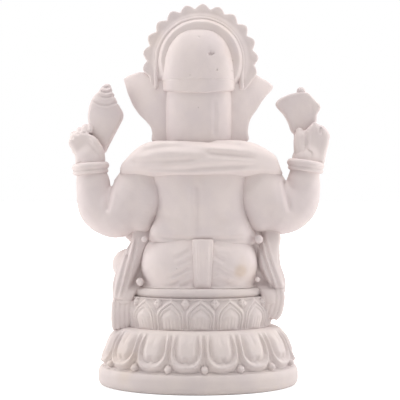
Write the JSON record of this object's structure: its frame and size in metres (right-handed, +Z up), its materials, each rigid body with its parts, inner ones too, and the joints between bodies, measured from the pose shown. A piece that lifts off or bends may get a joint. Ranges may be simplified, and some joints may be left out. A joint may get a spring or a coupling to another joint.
{
  "type": "ganesha idol",
  "caption": "Seated four-armed elephant-headed figure in white cast marble dust on an oval double lotus base, with a toothed halo.",
  "frame": {"origin": "centre of the underside of the oval plinth, on the surface that it stands on", "axes": "+Z up through the crown, -Y towards the front that the figure faces, +X towards the figure's own left"},
  "size_m": [0.104, 0.06, 0.1496],
  "materials": {
    "cast_base": "matte",
    "cast_figure": "matte",
    "cast_drapery": "matte"
  },
  "bodies": {
    "root": {"plinth": "cast_base", "lower_lotus_core": "cast_base", "lower_lotus_petals": "cast_base", "lower_lotus_buds": "cast_base", "upper_lotus_core": "cast_base", "upper_lotus_petals": "cast_base", "upper_lotus_tips": "cast_base", "seat_slab": "cast_base", "dhoti_hips": "cast_drapery", "dhoti_tail": "cast_drapery", "dhoti_apron": "cast_drapery", "left_leg": "cast_figure", "right_leg": "cast_figure", "left_foot": "cast_figure", "right_foot": "cast_figure", "anklets": "cast_figure", "torso": "cast_figure", "belly": "cast_figure", "waist_belt": "cast_drapery", "sacred_thread": "cast_figure", "necklace": "cast_figure", "pendant": "cast_figure", "shawl": "cast_drapery", "left_shawl_end": "cast_drapery", "right_shawl_end": "cast_drapery", "shawl_tassels": "cast_drapery", "garment_beads": "cast_figure", "left_rear_upper_arm": "cast_figure", "right_rear_upper_arm": "cast_figure", "left_rear_forearm": "cast_figure", "right_rear_forearm": "cast_figure", "left_rear_bangles": "cast_figure", "right_rear_bangles": "cast_figure", "left_rear_hand": "cast_figure", "right_rear_hand": "cast_figure", "conch": "cast_figure", "axe_shaft": "cast_figure", "axe_head": "cast_figure", "left_front_arm": "cast_figure", "right_front_arm": "cast_figure", "front_bangles": "cast_figure", "left_front_hand": "cast_figure", "right_front_hand": "cast_figure", "sweet_bowl": "cast_figure", "head": "cast_figure", "trunk": "cast_figure", "left_tusk": "cast_figure", "right_tusk": "cast_figure", "left_ear": "cast_figure", "right_ear": "cast_figure", "crown_band": "cast_figure", "crown_dome": "cast_figure", "crown_crest": "cast_figure", "halo_plate": "cast_figure", "halo_ring": "cast_figure"}
  },
  "joints": []
}
